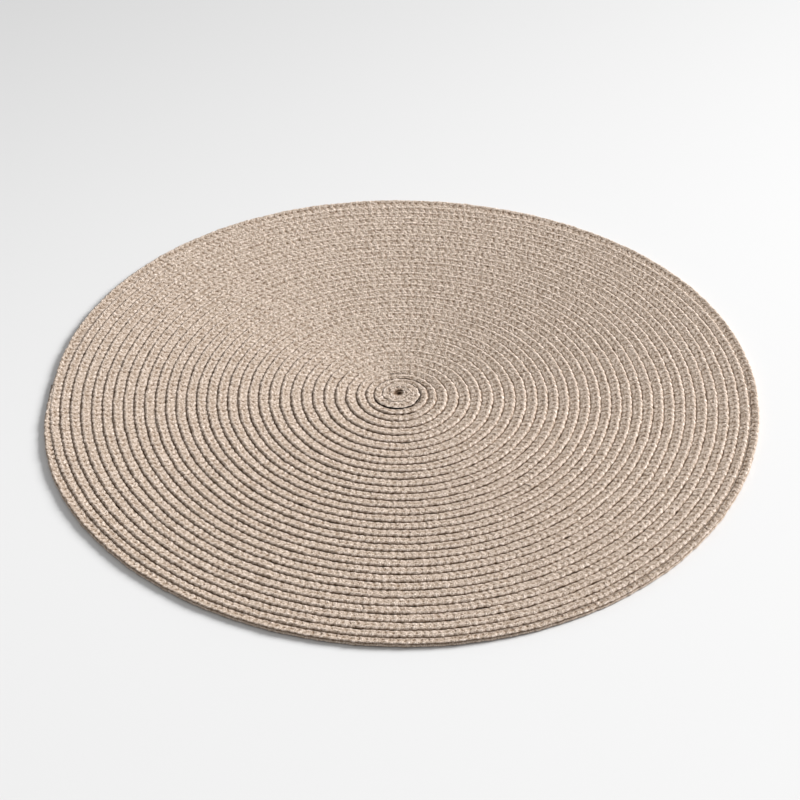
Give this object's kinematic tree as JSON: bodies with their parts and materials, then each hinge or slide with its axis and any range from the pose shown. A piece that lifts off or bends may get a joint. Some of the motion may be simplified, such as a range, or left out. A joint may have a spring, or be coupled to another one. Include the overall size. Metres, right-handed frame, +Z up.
{
  "type": "round placemat",
  "caption": "Flat round table placemat, a braided band wound in a stepped spiral and sewn, that lies under a plate and keeps the table clean.",
  "frame": {"origin": "middle of the mat's box, on its underside", "axes": "+Z up out of the top face; the band's tucked outer end lies towards -X"},
  "size_m": [0.38, 0.3792, 0.0028],
  "materials": {
    "braided_band": "matt knitted braid, warm taupe"
  },
  "bodies": {
    "root": {"mat": "braided_band"}
  },
  "joints": []
}
